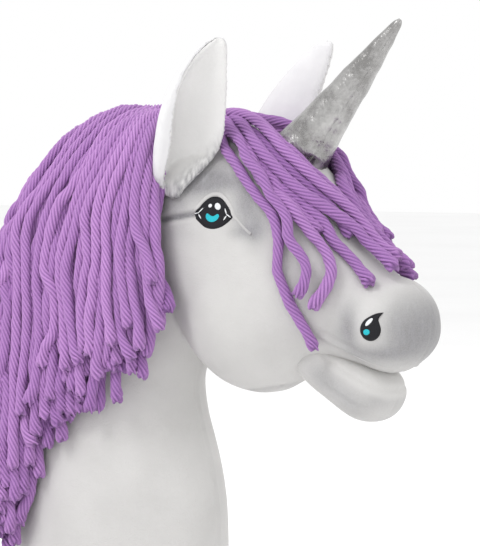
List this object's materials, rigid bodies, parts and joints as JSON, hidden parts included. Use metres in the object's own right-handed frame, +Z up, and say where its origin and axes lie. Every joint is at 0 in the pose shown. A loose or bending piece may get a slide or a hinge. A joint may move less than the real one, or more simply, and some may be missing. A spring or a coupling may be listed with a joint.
{
  "type": "plush unicorn head",
  "caption": "Stuffed unicorn head and neck with a horn, ears, a soft mouth, a yarn mane and forelock, and a socket in its base for a riding stick.",
  "frame": {"origin": "mouth of the stick socket, in the middle of the flat neck base", "axes": "+Z up, +X the way the nose points, +Y the animal's left"},
  "size_m": [0.3679, 0.1378, 0.4083],
  "materials": {
    "plush": "short white pile with sprayed grey shading",
    "filling": "fibre filling",
    "lining": "smooth cloth",
    "lame": "shiny metallic cloth",
    "yarn": "thick twisted yarn",
    "tape": "woven tape",
    "stitch_black": "satin stitch",
    "stitch_white": "satin stitch",
    "stitch_cyan": "satin stitch",
    "cover_cloth": "plain weave",
    "board": "plain",
    "tube": "satin"
  },
  "bodies": {
    "head_and_neck": {"neck_skin_right": "plush", "head_skin_right": "plush", "eyelid_right": "plush", "neck_skin_left": "plush", "head_skin_left": "plush", "eyelid_left": "plush", "neck_stuffing": "filling", "head_stuffing": "filling", "base_cover": "cover_cloth", "base_board": "board", "stick_socket_tube": "tube", "socket_end_cap": "tube", "mane_tape": "tape", "palate_lining": "lining", "eye_patch_right": "stitch_black", "nostril_patch_right": "stitch_black", "eye_iris_right": "stitch_cyan", "nostril_dot_right": "stitch_cyan", "eye_light_front_right": "stitch_white", "eye_light_back_right": "stitch_white", "eye_corner_front_right": "stitch_white", "eye_corner_back_right": "stitch_white", "nostril_light_right": "stitch_white", "eye_patch_left": "stitch_black", "nostril_patch_left": "stitch_black", "eye_iris_left": "stitch_cyan", "nostril_dot_left": "stitch_cyan", "eye_light_front_left": "stitch_white", "eye_light_back_left": "stitch_white", "eye_corner_front_left": "stitch_white", "eye_corner_back_left": "stitch_white", "nostril_light_left": "stitch_white"},
    "jaw": {"jaw_skin": "plush", "jaw_stuffing": "filling", "jaw_lining": "lining"},
    "horn": {"horn_cover": "lame", "horn_stuffing": "filling"},
    "ear_right": {"ear_outer_right": "plush", "ear_lining_right": "lining"},
    "mane_1_right": {"mane_1_right": "yarn"},
    "mane_2_right": {"mane_2_right": "yarn"},
    "mane_3_right": {"mane_3_right": "yarn"},
    "forelock_right": {"forelock_right": "yarn"},
    "ear_left": {"ear_outer_left": "plush", "ear_lining_left": "lining"},
    "mane_1_left": {"mane_1_left": "yarn"},
    "mane_2_left": {"mane_2_left": "yarn"},
    "mane_3_left": {"mane_3_left": "yarn"},
    "forelock_left": {"forelock_left": "yarn"},
    "mane_rear": {"mane_rear": "yarn"}
  },
  "joints": [
    {"name": "ear_right_fold", "type": "hinge", "parent": "head_and_neck", "child": "ear_right", "pos_m": [0.094, -0.036, 0.3], "axis": [0.8975, 0.3811, -0.2221], "range_deg": [-15, 30], "stiffness_Nm_per_rad": 0.3},
    {"name": "ear_left_fold", "type": "hinge", "parent": "head_and_neck", "child": "ear_left", "pos_m": [0.094, 0.036, 0.3], "axis": [-0.8975, 0.3811, 0.2221], "range_deg": [-15, 30], "stiffness_Nm_per_rad": 0.3},
    {"name": "jaw_open", "type": "hinge", "parent": "head_and_neck", "child": "jaw", "pos_m": [0.16304, 0, 0.17998], "axis": [0, 1, 0], "range_deg": [0, 12], "stiffness_Nm_per_rad": 1.5, "springref_deg": -1.72},
    {"name": "horn_lean", "type": "hinge", "parent": "head_and_neck", "child": "horn", "pos_m": [0.1435, 0, 0.30342], "axis": [0, 1, 0], "range_deg": [-8, 8], "stiffness_Nm_per_rad": 1},
    {"name": "mane_1_right_lift", "type": "hinge", "parent": "head_and_neck", "child": "mane_1_right", "pos_m": [0.045, 0, 0.354], "axis": [-1, 0, 0], "range_deg": [0, 35]},
    {"name": "mane_2_right_lift", "type": "hinge", "parent": "head_and_neck", "child": "mane_2_right", "pos_m": [0.002, 0, 0.35], "axis": [-1, 0, 0], "range_deg": [0, 35]},
    {"name": "mane_3_right_lift", "type": "hinge", "parent": "head_and_neck", "child": "mane_3_right", "pos_m": [-0.038, 0, 0.338], "axis": [-1, 0, 0], "range_deg": [0, 35]},
    {"name": "forelock_right_lift", "type": "hinge", "parent": "head_and_neck", "child": "forelock_right", "pos_m": [0.129, -0.045, 0.35], "axis": [0, -1, 0], "range_deg": [0, 55]},
    {"name": "mane_1_left_lift", "type": "hinge", "parent": "head_and_neck", "child": "mane_1_left", "pos_m": [0.045, 0, 0.354], "axis": [1, 0, 0], "range_deg": [0, 35]},
    {"name": "mane_2_left_lift", "type": "hinge", "parent": "head_and_neck", "child": "mane_2_left", "pos_m": [0.002, 0, 0.35], "axis": [1, 0, 0], "range_deg": [0, 35]},
    {"name": "mane_3_left_lift", "type": "hinge", "parent": "head_and_neck", "child": "mane_3_left", "pos_m": [-0.038, 0, 0.338], "axis": [1, 0, 0], "range_deg": [0, 35]},
    {"name": "forelock_left_lift", "type": "hinge", "parent": "head_and_neck", "child": "forelock_left", "pos_m": [0.129, 0.045, 0.35], "axis": [0, -1, 0], "range_deg": [0, 55]},
    {"name": "mane_rear_lift", "type": "hinge", "parent": "head_and_neck", "child": "mane_rear", "pos_m": [-0.059, 0, 0.26], "axis": [0, 1, 0], "range_deg": [0, 50]}
  ]
}
